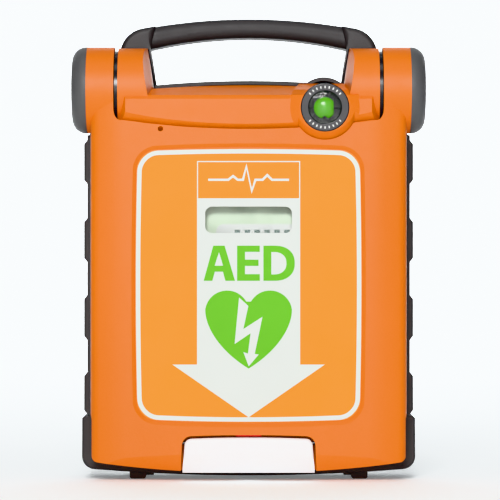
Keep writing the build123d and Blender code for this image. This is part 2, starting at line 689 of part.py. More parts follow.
# ---- carry handle ----
def handle_arc_drop(x):
    return HANDLE_ARC_R - math.sqrt(HANDLE_ARC_R ** 2 - x ** 2)


def handle_face():
    side_z = HANDLE_TOP - handle_arc_drop(HANDLE_HALF)
    face = make_face([
        ThreePointArc((-HANDLE_HALF, side_z), (0, HANDLE_TOP), (HANDLE_HALF, side_z)),
        Polyline((HANDLE_HALF, side_z), (HANDLE_HALF, 240), (-HANDLE_HALF, 240), (-HANDLE_HALF, side_z)),
    ])
    return fillet(face.vertices().sort_by(Axis.Y)[-2:], HANDLE_CORNER_R)


def hand_opening(grow):
    """Front view of the space for the hand, between the legs and under the grip."""
    top_half = 64.0 + grow
    foot_half = 58.4 + grow
    return make_face([
        ThreePointArc((-top_half, GRIP_UNDER_SIDE), (0, GRIP_UNDER), (top_half, GRIP_UNDER_SIDE)),
        Polyline((top_half, GRIP_UNDER_SIDE), (foot_half, 240),
                 (-foot_half, 240), (-top_half, GRIP_UNDER_SIDE)),
    ])


def grip_bar(inset, half):
    """Arched bar of the grip between its end blocks, with rounded long edges."""
    top = HANDLE_TOP - inset
    under = GRIP_UNDER + inset
    end = 70.0
    top_end = top - handle_arc_drop(end)
    under_end = under - (GRIP_UNDER - GRIP_UNDER_SIDE) * (end / 64) ** 2
    face = make_face([
        ThreePointArc((-end, top_end), (0, top), (end, top_end)),
        Line((end, top_end), (end, under_end)),
        ThreePointArc((end, under_end), (0, under), (-end, under_end)),
        Line((-end, under_end), (-end, top_end)),
    ])
    bar = front_prism(face, GRIP_FRONT_Y + inset, GRIP_BACK_Y - inset)
    long_edges = bar.edges().filter_by(lambda edge: edge.length > 100)
    bar = fillet(long_edges, GRIP_ROUND - inset)
    return bar & block(-half, half, -60, 60, 200, 320)


def on_handle_rim(edge):
    """True for the upper edges of the end blocks, on their front and back faces."""
    place = edge.center()
    return place.Z > 281 and (place.Y < HANDLE_FRONT_Y + 0.1 or place.Y > HANDLE_BACK_Y - 0.1)


def carry_handle():
    outline = handle_face() - hand_opening(0)
    ends = make_face(Polyline((59.5, 302), (64.2, GRIP_UNDER_SIDE), (58, 240), (90, 240),
                              (90, 302), (59.5, 302)))
    block_face = outline & (ends + mirror(ends, about=Plane.YZ))
    blocks = front_prism(block_face, HANDLE_FRONT_Y, HANDLE_BACK_Y)
    rim = blocks.edges().filter_by(on_handle_rim)
    blocks = fillet(rim, HANDLE_RIM_R)
    blocks -= base_solid(0, SPLIT_Y - 2)
    blocks -= both_sides(inner_barrel())
    blocks -= both_sides(rod_x(INNER_BARREL_R, 70, INNER_BARREL_X + 0.5, HINGE_Y, HINGE_Z))
    blocks -= rod_y(BULGE_R, SPLIT_Y - 1, BULGE_BACK_Y, STATUS_X, BULGE_Z)
    stubs = grip_bar(0, 72) - block(-SLEEVE_HALF, SLEEVE_HALF, -60, 60, 200, 320)
    handle = blocks + stubs + grip_bar(SLEEVE, 66)
    post = rod_z(POST_R, 243, 257, POST_X, POST_Y) - rod_z(1.5, 240, 252, POST_X, POST_Y)
    return handle + both_sides(post)


def handle_grip():
    return grip_bar(0, SLEEVE_HALF) - grip_bar(SLEEVE, 66)


# ---- bumpers and feet ----
def side_bumper():
    """Rubber strip on the right-hand side with four raised bands."""
    strip = block(BASE_HALF, STRIP_X, SPLIT_Y, 34, 42.3, 224)
    for low, high in BUMP_BANDS:
        band = make_face(Polyline((BASE_HALF, low), (STRIP_X, low), (BUMP_X, low + 2.6), (BUMP_X, high - 2.6),
                                  (STRIP_X, high), (BASE_HALF, high), (BASE_HALF, low)))
        strip += front_prism(band, SPLIT_Y, 34)
    upright = strip.edges().filter_by(Axis.Z).filter_by(lambda edge: edge.center().X > BUMP_X - 0.1)
    return fillet(upright, 2.0)


def left_bumper():
    strip = mirror(side_bumper(), about=Plane.YZ)
    return strip - block(-STRIP_X - 5, -BASE_HALF + 1, USB_Y[0], USB_Y[1], USB_Z[0], USB_Z[1])


def bottom_bumper():
    """U-shaped rubber guard round the foot and lower corners of the case."""
    outline = make_face([
        ThreePointArc((-BUMPER_X, 6.9), (0, 2.2), (BUMPER_X, 6.9)),
        Polyline((BUMPER_X, 6.9), (BUMPER_X, BUMPER_TOP - 1.5), (BUMPER_X - 1.5, BUMPER_TOP),
                 (-BUMPER_X + 1.5, BUMPER_TOP), (-BUMPER_X, BUMPER_TOP - 1.5), (-BUMPER_X, 6.9)),
    ])
    outline = fillet(outline.vertices().sort_by(Axis.Y)[:2], 8.5)
    guard = front_prism(outline - base_outline(0), SPLIT_Y, 36)
    rims = guard.edges().filter_by(lambda edge: edge.center().Y > 35.9 or edge.center().Y < SPLIT_Y + 0.1)
    outside = rims.filter_by(lambda edge: abs(edge.center().X) > BASE_HALF + 2 or edge.center().Z < 4.2)
    return fillet(outside, 2.0)


def rubber_feet():
    feet = []
    for side in (-1, 1):
        for y in (-11.0, 20.0):
            foot = block(side * 72.3 - 5.3, side * 72.3 + 5.3, y, y + 13, 0, 5.2)
            foot = fillet(foot.edges().filter_by(Axis.Y).sort_by(Axis.Z)[:2], 1.6)
            step = block(side * 64.6 - 2.6, side * 64.6 + 2.6, y + 1, y + 12, 2.4, 5.2)
            feet.append((foot + step) - guard_space())
    return group(feet)


def guard_space():
    """Everything above the lower face of the bottom guard."""
    low = make_face([
        ThreePointArc((-BUMPER_X, 6.9), (0, 2.2), (BUMPER_X, 6.9)),
        Polyline((BUMPER_X, 6.9), (BUMPER_X, 30), (-BUMPER_X, 30), (-BUMPER_X, 6.9)),
    ])
    return front_prism(low, -30, 50)


# ---- controls ----
def control_panel():
    panel = front_prism(rounded_panel(-91, 91, 18, 84, 6), PANEL_FRONT_Y, DECK_FRONT_Y)
    rim = panel.edges().filter_by(lambda edge: edge.center().Y < PANEL_FRONT_Y + 0.01)
    panel = fillet(rim, 1.0)
    panel -= front_prism(rounded_panel(*DISPLAY, 2), -20, -10)
    panel -= rod_y(SHOCK_R + 0.4, -20, -10, SHOCK_X, SHOCK_Z)
    panel -= rod_y(KEY_R + 0.3, -20, -10, KEY_X, KEY_Z)
    panel -= front_prism(rounded_panel(*SOCKET, 2), -20, -10)
    return panel - rod_y(11.0, -20, -10, SPEAKER_X, SPEAKER_Z)


def display_window():
    return front_prism(rounded_panel(*DISPLAY, 2), PANEL_FRONT_Y + 0.3, PANEL_FRONT_Y + 1.5)


def display_module():
    x_low, x_high, z_low, z_high = DISPLAY
    glass = block(x_low + 1, x_high - 1, -13.5, -10.5, z_low + 1, z_high - 1)
    return glass + block(x_low - 1, x_high + 1, -10.5, -7.5, z_low - 1, z_high + 1)


def shock_bezel():
    ring = rod_y(SHOCK_R + 4.4, PANEL_FRONT_Y - 1.2, PANEL_FRONT_Y, SHOCK_X, SHOCK_Z)
    ring -= rod_y(SHOCK_R + 1.0, -30, -10, SHOCK_X, SHOCK_Z)
    return fillet(ring.edges().filter_by(lambda edge: edge.center().Y < PANEL_FRONT_Y - 1.1), 0.5)


def shock_button():
    head = rod_y(SHOCK_R, -20.6, -13.4, SHOCK_X, SHOCK_Z)
    head = fillet(head.edges().filter_by(lambda edge: edge.center().Y < -20.5), 1.8)
    head += rod_y(SHOCK_R + 2.2, -13.6, -11.8, SHOCK_X, SHOCK_Z)
    return head + rod_y(3.6, -11.8, -4.4, SHOCK_X, SHOCK_Z)


def shock_spring():
    turns = coil(7.0, 0.5, 3, 4.4)
    return Pos(SHOCK_X, -4.3, SHOCK_Z) * Rot(90, 0, 0) * turns


def key_switches():
    """Board-mounted push switches under the two buttons."""
    shock = block(SHOCK_X - 8, SHOCK_X + 8, -2.6, BOARD_Y, SHOCK_Z - 8, SHOCK_Z + 8)
    shock += rod_y(8.0, -3.7, -2.6, SHOCK_X, SHOCK_Z) - rod_y(4.2, -3.7, -2.6, SHOCK_X, SHOCK_Z)
    key = block(KEY_X - 3, KEY_X + 3, -3.2, BOARD_Y, KEY_Z - 3, KEY_Z + 3)
    return group([shock, key])


def language_button():
    key = rod_y(KEY_R, -18.4, -13.4, KEY_X, KEY_Z)
    key = fillet(key.edges().filter_by(lambda edge: edge.center().Y < -18.3), 0.8)
    key += rod_y(KEY_R + 1.4, -13.6, -12.4, KEY_X, KEY_Z)
    return key + rod_y(1.8, -12.4, -4.4, KEY_X, KEY_Z)


def speaker_grille():
    disc = rod_y(10.9, PANEL_FRONT_Y - 0.4, PANEL_FRONT_Y + 1.6, SPEAKER_X, SPEAKER_Z)
    for ring_r, count in ((0, 1), (3.2, 6), (6.2, 12), (9.0, 18)):
        for step in range(count):
            angle = 2 * math.pi * step / count
            hole_x = SPEAKER_X + ring_r * math.cos(angle)
            disc -= rod_y(0.9, -20, -10, hole_x, SPEAKER_Z + ring_r * math.sin(angle))
    return disc


def speaker():
    driver = rod_y(11.8, -13.0, -9.0, SPEAKER_X, SPEAKER_Z) + rod_y(6.5, -9.0, -3.0, SPEAKER_X, SPEAKER_Z)
    cone = Pos(SPEAKER_X, -11.6, SPEAKER_Z) * Rot(90, 0, 0) * Cone(3.0, 10.5, 2.9)
    return driver - cone


def pads_socket():
    x_low, x_high, z_low, z_high = SOCKET
    outside = rounded_panel(x_low + 0.1, x_high - 0.1, z_low + 0.1, z_high - 0.1, 1.9)
    body = front_prism(outside, -17.6, BOARD_Y)
    body -= front_prism(rounded_panel(x_low + 2, x_high - 2, z_low + 2, z_high - 2, 1), -20, -7)
    middle = (z_low + z_high) / 2
    for x in (x_low + 6, x_high - 6):
        body += rod_y(0.9, -11.5, -6, x, middle)
    return body


def pads_package():
    """Foil pouch of electrode pads standing in the well, proud of the deck."""
    pouch = block(-76, 76, -31, WELL_BACK_Y - 0.4, 96, 200)
    return fillet(pouch.edges(), 8.0)


# ---- electronics ----
def main_board():
    board = block(-88, 88, BOARD_Y, BOARD_BACK_Y, 15.5, 84.5)
    for x, z in BOARD_PLACES:
        board -= rod_y(1.3, 0, 6, x, z)
    for x, z, wide, tall, deep in ((-20, 72, 14, 14, 2.2), (8, 24, 10, 10, 1.6), (66, 24, 12, 8, 2.5),
                                   (-40, 76, 8, 6, 1.4), (60, 78, 16, 6, 2.0)):
        board += block(x, x + wide, BOARD_BACK_Y, BOARD_BACK_Y + deep, z - tall / 2, z + tall / 2)
    return board


def board_screws():
    screws = []
    for x, z in BOARD_PLACES:
        screws.append(rod_y(1.1, -6, BOARD_BACK_Y, x, z) + rod_y(2.4, BOARD_BACK_Y, BOARD_BACK_Y + 1.7, x, z))
    return group(screws)


def hv_capacitor():
    can = rod_x(16.0, -84, -14, 23.0, 38.0)
    can = fillet(can.edges().filter_by(GeomType.CIRCLE), 1.5)
    for z in (32, 44):
        can += rod_x(1.6, -14.2, -10, 23.0, z)
    return can


def capacitor_clamp():
    strap = rod_x(17.2, -56, -46, 23.0, 38.0) + block(-56, -46, BOARD_BACK_Y, 23, 21.5, 54.5)
    return strap - rod_x(16.0, -60, -40, 23.0, 38.0)


def charging_transformer():
    core = block(4, 40, 8, 38, 24, 60)
    core -= block(12, 17, 7, 39, 30, 54)
    core -= block(27, 32, 7, 39, 30, 54)
    winding = block(17.2, 26.8, 5, 41, 30.5, 53.5)
    return core + winding + block(8, 36, BOARD_BACK_Y, 8, 34, 50)


def discharge_relay():
    return block(50, 80, BOARD_BACK_Y + 0.1, 24, 32, 52) + block(52, 78, 24, 25.5, 34, 50)


def reed_switch():
    return block(-80, -64, -2, BOARD_Y, 76.5, 79.5)


def bay_contacts():
    blades = [block(x + 0.1, x + 3.9, BAY_FRONT_Y - 4.8, BAY_FRONT_Y + 0.2, 106.1, 111.9)
              for x in (-14, 2, 10)]
    return group(blades)


# ---- battery pack ----
def battery_case():
    """Sealed pack with a finger recess in its outer face."""
    half = BAY_HALF - 0.4
    case = block(-half, half, BAY_FRONT_Y + 0.6, BACK_Y, BAY_LOW + 0.4, BAY_HIGH - 0.4)
    case = fillet(case.edges().filter_by(Axis.Y), 1.5)
    case -= block(2 - half, half - 2, BAY_FRONT_Y + 2.6, BACK_Y - 8, BAY_LOW + 2.4, BAY_HIGH - 2.4)
    case -= front_prism(rounded_panel(-22, 22, 184, 196, 5.5), BACK_Y - 5, BACK_Y + 1)
    for z in range(112, 176, 8):
        case -= front_prism(rounded_panel(-34, 34, z, z + 2.4, 1.1), BACK_Y - 0.8, BACK_Y + 1)
    return case


def battery_cells():
    cells = []
    for z_low in (108, 152):
        for column in range(4):
            cell = rod_z(8.5, z_low, z_low + 34.5, -30.3 + column * 20.2, 25.2)
            cells.append(fillet(cell.edges().filter_by(GeomType.CIRCLE), 0.8))
    return group(cells)


def battery_latch():
    """Thumb slide above the pack; it lifts to free the pack."""
    slide = front_prism(rounded_panel(-12, 12, 207, 216, 1.2), BACK_Y - 3, BACK_Y)
    slide -= front_prism(rounded_panel(-8, 8, 209.2, 210.4, 0.5), BACK_Y - 0.8, BACK_Y + 1)
    slide -= front_prism(rounded_panel(-8, 8, 212.4, 213.6, 0.5), BACK_Y - 0.8, BACK_Y + 1)
    return slide + block(-15, 15, BACK_Y - 5.4, BACK_Y - 3, 204.6, 218)


def battery_latch_spring():
    return Pos(0, BACK_Y - 4.2, 218.3) * coil(1.3, 0.3, 5, 9.0)


# ---- fasteners and data socket ----
def case_screws():
    screws = []
    for x, z in SCREW_PLACES:
        screw = rod_y(1.4, DECK_STEP_Y + 1, BACK_Y - 6, x, z) + rod_y(3.2, BACK_Y - 6, BACK_Y - 3.4, x, z)
        screws.append(screw - front_prism(Pos(x, z) * RegularPolygon(1.5, 6), BACK_Y - 5, BACK_Y))
    return group(screws)


def lid_catch():
    keeper = block(-HOOK_HALF, HOOK_HALF, -21.3, DECK_FRONT_Y, 13.0, 16.5)
    return keeper + block(-HOOK_HALF, HOOK_HALF, -21.3, -19.6, 11.3, 13.0)


def usb_socket():
    shell = block(-101.2, -90, 6, 18, 127.4, 133.6)
    shell -= block(-102, -92, 7, 17, 128.4, 132.6)
    return shell + block(-100, -92, 9, 15, 130.0, 131.0)


def usb_cover():
    """Rubber flap with a plug that fills the socket's mouth."""
    flap = block(-STRIP_X, -BASE_HALF - 0.15, USB_Y[0] + 0.4, USB_HINGE_Y, USB_Z[0] + 0.4, USB_Z[1] - 0.4)
    flap += rod_z(USB_BEAD_R, USB_Z[0] + 0.4, USB_Z[1] - 0.4, -STRIP_X, USB_HINGE_Y)
    flap += block(-STRIP_X - 1.0, -STRIP_X, USB_Y[0] + 1.4, USB_Y[0] + 3.0, USB_Z[0] + 4, USB_Z[1] - 4)
    return flap + block(-BASE_HALF - 0.15, -101.6, 7.4, 16.6, 128.8, 132.2)


NODES = {
    "rear_shell": rear_shell,
    "front_deck": front_deck,
    "deck_gasket": deck_gasket,
    "hinge_bridge": hinge_bridge,
    "hinge_pins": hinge_pins,
    "hinge_rings": hinge_rings,
    "indicator_ring": indicator_ring,
    "indicator_lens": indicator_lens,
    "indicator_cup": indicator_cup,
    "indicator_disc": indicator_disc,
    "indicator_axle": indicator_axle,
    "indicator_coil": indicator_coil,
    "carry_handle": carry_handle,
    "handle_grip": handle_grip,
    "side_bumper_right": side_bumper,
    "side_bumper_left": left_bumper,
    "bottom_bumper": bottom_bumper,
    "rubber_feet": rubber_feet,
    "control_panel": control_panel,
    "display_window": display_window,
    "display_module": display_module,
    "shock_bezel": shock_bezel,
    "shock_button": shock_button,
    "shock_spring": shock_spring,
    "key_switches": key_switches,
    "language_button": language_button,
    "speaker_grille": speaker_grille,
    "speaker": speaker,
    "pads_socket": pads_socket,
    "pads_package": pads_package,
    "main_board": main_board,
    "board_screws": board_screws,
    "hv_capacitor": hv_capacitor,
    "capacitor_clamp": capacitor_clamp,
    "charging_transformer": charging_transformer,
    "discharge_relay": discharge_relay,
    "reed_switch": reed_switch,
    "bay_contacts": bay_contacts,
    "battery_case": battery_case,
    "battery_cells": battery_cells,
    "battery_latch": battery_latch,
    "battery_latch_spring": battery_latch_spring,
    "case_screws": case_screws,
    "lid_catch": lid_catch,
    "usb_socket": usb_socket,
    "usb_cover": usb_cover,
    "lid_shell": lid_shell,
    "lid_liner": lid_liner,
    "lid_screws": lid_screws,
    "lid_label": lid_label,
    "lid_window": lid_window,
    "lid_magnet": lid_magnet,
    "hinge_bushes": hinge_bushes,
    "hinge_cap_right": right_cap,
    "hinge_cap_left": left_cap,
    "latch_pin": latch_pin,
    "latch_spring": latch_spring,
    "latch_keeper": latch_keeper,
    "latch_paddle": latch_paddle,
}

os.makedirs("parts", exist_ok=True)
for name, build in NODES.items():
    export_step(build(), f"parts/{name}.step")
    print(name)
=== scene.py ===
import json
import math

import bmesh
import bpy
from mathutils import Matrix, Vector, noise


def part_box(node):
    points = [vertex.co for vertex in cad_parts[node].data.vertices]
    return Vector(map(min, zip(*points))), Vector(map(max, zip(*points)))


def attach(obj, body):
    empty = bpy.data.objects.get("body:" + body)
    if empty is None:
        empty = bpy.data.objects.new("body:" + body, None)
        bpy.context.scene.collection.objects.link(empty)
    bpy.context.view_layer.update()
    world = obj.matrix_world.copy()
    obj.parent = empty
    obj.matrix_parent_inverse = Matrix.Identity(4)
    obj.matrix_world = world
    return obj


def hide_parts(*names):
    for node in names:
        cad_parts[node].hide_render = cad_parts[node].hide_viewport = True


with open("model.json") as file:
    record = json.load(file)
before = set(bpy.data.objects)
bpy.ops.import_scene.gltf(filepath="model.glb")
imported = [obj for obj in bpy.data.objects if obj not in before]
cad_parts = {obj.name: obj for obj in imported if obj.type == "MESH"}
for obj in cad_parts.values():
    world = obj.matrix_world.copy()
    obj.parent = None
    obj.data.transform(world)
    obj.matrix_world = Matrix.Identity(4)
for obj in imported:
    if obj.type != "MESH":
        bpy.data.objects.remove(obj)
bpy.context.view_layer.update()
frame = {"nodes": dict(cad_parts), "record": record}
nodes = frame["nodes"]
slot_of = {part["node"]: part["material_slot"] for part in frame["record"]["subparts"]}
MM = 0.001


# ---- camera, lights and stage ----
CAMERA_PLACE = (0.0009, -2.0, 0.1491)
CAMERA_LENS = 219.6
SENSOR_WIDTH = 36
VIEW_REACH = 30
STAGE_HALF = 4.0
STAGE_FRONT = -4.0
STAGE_TOP = 4.0
BEND_START = 1.6
BEND_RADIUS = 0.8
BEND_STEPS = 12
FLOOR_GAP = 0.0002
GLOW_PLACE = (0, 2.3, 0.2)
GLOW_IN = 0.5
GLOW_OUT = 2.3
GLOW_LOW = 0.2
GLOW_HIGH = 3.0
WORLD_STRENGTH = 0.08


def link(thing):
    bpy.context.scene.collection.objects.link(thing)


def smooth(mesh):
    for face in mesh.polygons:
        face.use_smooth = True


def aim(thing, target):
    direction = Vector(target) - thing.location
    thing.rotation_euler = direction.to_track_quat("-Z", "Y").to_euler()


def add_camera():
    data = bpy.data.cameras.new("camera")
    data.lens = CAMERA_LENS
    data.sensor_width = SENSOR_WIDTH
    data.clip_end = VIEW_REACH
    camera = bpy.data.objects.new("camera", data)
    camera.location = CAMERA_PLACE
    camera.rotation_euler = (math.radians(90), 0, 0)
    link(camera)
    bpy.context.scene.camera = camera


def add_light(name, place, target, size, watts):
    data = bpy.data.lights.new(name, "AREA")
    data.shape = "RECTANGLE"
    data.size, data.size_y = size
    data.energy = watts
    lamp = bpy.data.objects.new(name, data)
    lamp.location = place
    aim(lamp, target)
    link(lamp)


def add_world(strength):
    world = bpy.data.worlds.new("studio")
    world.use_nodes = True
    world.node_tree.nodes["Background"].inputs["Strength"].default_value = strength
    world.node_tree.nodes["Background"].inputs["Color"].default_value = (1, 1, 1, 1)
    bpy.context.scene.world = world


def add_stage():
    """Pale floor that curves up into a backdrop, with a soft glow behind the object."""
    section = [(STAGE_FRONT, 0.0), (BEND_START, 0.0)]
    for step in range(1, BEND_STEPS + 1):
        angle = math.radians(90 * step / BEND_STEPS)
        section.append((BEND_START + BEND_RADIUS * math.sin(angle),
                        BEND_RADIUS - BEND_RADIUS * math.cos(angle)))
    section.append((BEND_START + BEND_RADIUS, STAGE_TOP))
    verts = [(x, y, z - FLOOR_GAP) for y, z in section for x in (-STAGE_HALF, STAGE_HALF)]
    faces = [(2 * i, 2 * i + 1, 2 * i + 3, 2 * i + 2) for i in range(len(section) - 1)]
    mesh = bpy.data.meshes.new("stage")
    mesh.from_pydata(verts, [], faces)
    smooth(mesh)
    stage = bpy.data.objects.new("stage", mesh)
    link(stage)
    paint = bpy.data.materials.new("stage_white")
    paint.use_nodes = True
    shader = paint.node_tree.nodes["Principled BSDF"]
    shader.inputs["Base Color"].default_value = (0.93, 0.95, 0.955, 1)
    shader.inputs["Emission Color"].default_value = (0.94, 0.98, 1, 1)
    glow = paint.node_tree.nodes.new("ShaderNodeMapRange")
    glow.interpolation_type = "SMOOTHSTEP"
    spans = (("From Min", GLOW_OUT), ("From Max", GLOW_IN), ("To Min", GLOW_LOW), ("To Max", GLOW_HIGH))
    for label, value in spans:
        glow.inputs[label].default_value = value
    reach = paint.node_tree.nodes.new("ShaderNodeVectorMath")
    reach.operation = "DISTANCE"
    reach.inputs[1].default_value = GLOW_PLACE
    place = paint.node_tree.nodes.new("ShaderNodeTexCoord")
    paint.node_tree.links.new(place.outputs["Object"], reach.inputs[0])
    paint.node_tree.links.new(reach.outputs["Value"], glow.inputs["Value"])
    paint.node_tree.links.new(glow.outputs["Result"], shader.inputs["Emission Strength"])
    shader.inputs["Roughness"].default_value = 0.9
    shader.inputs["Specular IOR Level"].default_value = 0.1
    mesh.materials.append(paint)


bpy.context.scene.view_settings.view_transform = "Khronos PBR Neutral"
add_camera()
add_world(WORLD_STRENGTH)
add_stage()
add_light("key", (-0.22, -2.6, 1.25), (0, 0, 0.15), (0.8, 0.7), 72)
add_light("top", (0.0, -0.6, 1.7), (0, 0, 0.2), (0.8, 0.6), 5)
add_light("fill", (0.05, -3.1, 0.3), (0, 0, 0.15), (0.9, 0.9), 17)
add_light("backdrop", (0.0, 0.9, 2.4), (0, 2.4, 0.5), (3.0, 1.0), 12)


# ---- materials ----
DRIFT_SCALE = 9
MARK_SCALE = 60
GLOSS_SCALE = 140
WORN = 1.25
FILM_ROUGHNESS = 0.38


def srgb(red, green, blue):
    """8-bit display colour as the linear values that a shader takes."""
    def linear(value):
        value /= 255
        return value / 12.92 if value <= 0.04045 else ((value + 0.055) / 1.055) ** 2.4
    return linear(red), linear(green), linear(blue), 1.0


def shade(colour, factor):
    return tuple(min(1.0, channel * factor) for channel in colour[:3]) + (1.0,)


class Paint:
    """A material under construction: a Principled shader with procedural inputs."""

    def __init__(self, name):
        self.material = bpy.data.materials.new(name)
        self.material.use_nodes = True
        self.tree = self.material.node_tree
        self.shader = self.tree.nodes["Principled BSDF"]
        self.place = self.add("ShaderNodeTexCoord").outputs["Object"]

    def add(self, kind, **values):
        node = self.tree.nodes.new(kind)
        for key, value in values.items():
            setattr(node, key, value)
        return node

    def join(self, source, target):
        self.tree.links.new(source, target)

    def set(self, **values):
        for key, value in values.items():
            self.shader.inputs[key.replace("_", " ")].default_value = value

    def noise(self, scale, detail=2.0, stretch=(1, 1, 1)):
        mapping = self.add("ShaderNodeMapping")
        mapping.inputs["Scale"].default_value = stretch
        self.join(self.place, mapping.inputs["Vector"])
        texture = self.add("ShaderNodeTexNoise")
        texture.inputs["Scale"].default_value = scale
        texture.inputs["Detail"].default_value = detail
        self.join(mapping.outputs["Vector"], texture.inputs["Vector"])
        return texture.outputs["Fac"]

    def ramp(self, source, low, high, stops=(0.35, 0.65)):
        ramp = self.add("ShaderNodeValToRGB")
        ramp.color_ramp.elements[0].position = stops[0]
        ramp.color_ramp.elements[1].position = stops[1]
        ramp.color_ramp.elements[0].color = low
        ramp.color_ramp.elements[1].color = high
        self.join(source, ramp.inputs["Fac"])
        return ramp.outputs["Color"]

    def mix(self, factor, first, second):
        mix = self.add("ShaderNodeMix", data_type="RGBA")
        colours = [socket for socket in mix.inputs if socket.type == "RGBA"]
        for socket, value in ((mix.inputs[0], factor), (colours[0], first), (colours[1], second)):
            if isinstance(value, (tuple, float)):
                socket.default_value = value
            else:
                self.join(value, socket)
        return [socket for socket in mix.outputs if socket.type == "RGBA"][0]

    def colour(self, source):
        self.join(source, self.shader.inputs["Base Color"])

    def rough(self, source, low, high):
        """Roughness that follows source, from low to high."""
        span = self.add("ShaderNodeMapRange")
        span.inputs["To Min"].default_value = low
        span.inputs["To Max"].default_value = high
        self.join(source, span.inputs["Value"])
        self.join(span.outputs["Result"], self.shader.inputs["Roughness"])

    def math(self, operation, *values):
        node = self.add("ShaderNodeMath", operation=operation)
        for socket, value in zip(node.inputs, values):
            if isinstance(value, (int, float)):
                socket.default_value = value
            else:
                self.join(value, socket)
        return node.outputs[0]

    def squares(self, first, second):
        """Sum of the squares of two values."""
        return self.math("ADD", self.math("MULTIPLY", first, first), self.math("MULTIPLY", second, second))

    def axes(self):
        """The object's own X, Y and Z, in metres."""
        split = self.add("ShaderNodeSeparateXYZ")
        self.join(self.place, split.inputs[0])
        return split.outputs[0], split.outputs[1], split.outputs[2]

    def between(self, value, low, high):
        """Mask that is 1 where value lies between low and high."""
        above = self.math("GREATER_THAN", value, low)
        return self.math("MULTIPLY", above, self.math("LESS_THAN", value, high))

    def panel(self, x_low, x_high, z_low, z_high):
        """Mask of a rectangle seen from the front, in metres."""
        x, _, z = self.axes()
        return self.math("MULTIPLY", self.between(x, x_low, x_high), self.between(z, z_low, z_high))

    def recolour(self, mask, colour):
        """Paint colour over what the shader has so far, where mask is 1."""
        socket = self.shader.inputs["Base Color"]
        self.join(self.mix(mask, socket.links[0].from_socket, colour), socket)

    def bump(self, source, depth, strength=1.0):
        bump = self.add("ShaderNodeBump")
        bump.inputs["Distance"].default_value = depth
        bump.inputs["Strength"].default_value = strength
        self.join(source, bump.inputs["Height"])
        if self.shader.inputs["Normal"].is_linked:
            self.join(self.shader.inputs["Normal"].links[0].from_socket, bump.inputs["Normal"])
        self.join(bump.outputs["Normal"], self.shader.inputs["Normal"])


def moulded(name, colour, roughness, grain=900, depth=0.00006, vary=0.05, scuffs=0.12, gloss=0.3):
    """Moulded plastic: fine spark grain, slow colour drift and faint handling marks."""
    paint = Paint(name)
    drift = paint.ramp(paint.noise(DRIFT_SCALE, 3), shade(colour, 1 - vary), shade(colour, 1 + vary))
    speckle = paint.ramp(paint.noise(grain, 2), shade(colour, 1 - vary), shade(colour, 1 + vary), (0.3, 0.7))
    base = paint.mix(0.4, drift, speckle)
    streaks = paint.noise(MARK_SCALE, 6, (1, 1, 0.25))
    marks = paint.ramp(streaks, (0, 0, 0, 1), (1, 1, 1, 1), (0.62, 0.72))
    paint.colour(paint.mix(paint.math("MULTIPLY", marks, scuffs), base, shade(colour, WORN)))
    paint.rough(paint.noise(GLOSS_SCALE, 3), roughness - 0.05, roughness + 0.06)
    paint.bump(paint.noise(grain, 2), depth)
    paint.set(Specular_IOR_Level=gloss)
    return paint


def printed(name, colour):
    """Printed film: smooth, with a very faint screen texture."""
    paint = Paint(name)
    tone = paint.ramp(paint.noise(30, 3), shade(colour, 0.985), shade(colour, 1.015))
    paint.colour(tone)
    paint.rough(paint.noise(200, 2), FILM_ROUGHNESS - 0.03, FILM_ROUGHNESS + 0.05)
    paint.bump(paint.noise(700, 2), 0.000012)
    paint.set(Specular_IOR_Level=0.08)
    return paint


def clear(name, tint, roughness):
    """Thin clear plastic that lets light straight through and keeps a soft gloss."""
    paint = Paint(name)
    paint.set(Alpha=0.12, Specular_IOR_Level=0.6)
    paint.material.surface_render_method = "BLENDED"
    paint.colour(paint.ramp(paint.noise(20, 2), tint, shade(tint, 1.04)))
    paint.rough(paint.noise(90, 4), roughness, roughness + 0.05)
    return paint


def metal(name, colour, roughness, grain=(1, 1, 30)):
    """Metal with fine streaks drawn along its grain."""
    paint = Paint(name)
    paint.set(Metallic=1.0)
    streaks = paint.noise(260, 4, grain)
    paint.colour(paint.ramp(streaks, shade(colour, 0.85), shade(colour, 1.08)))
    paint.rough(streaks, roughness - 0.06, roughness + 0.1)
    paint.bump(streaks, 0.00001)
    return paint


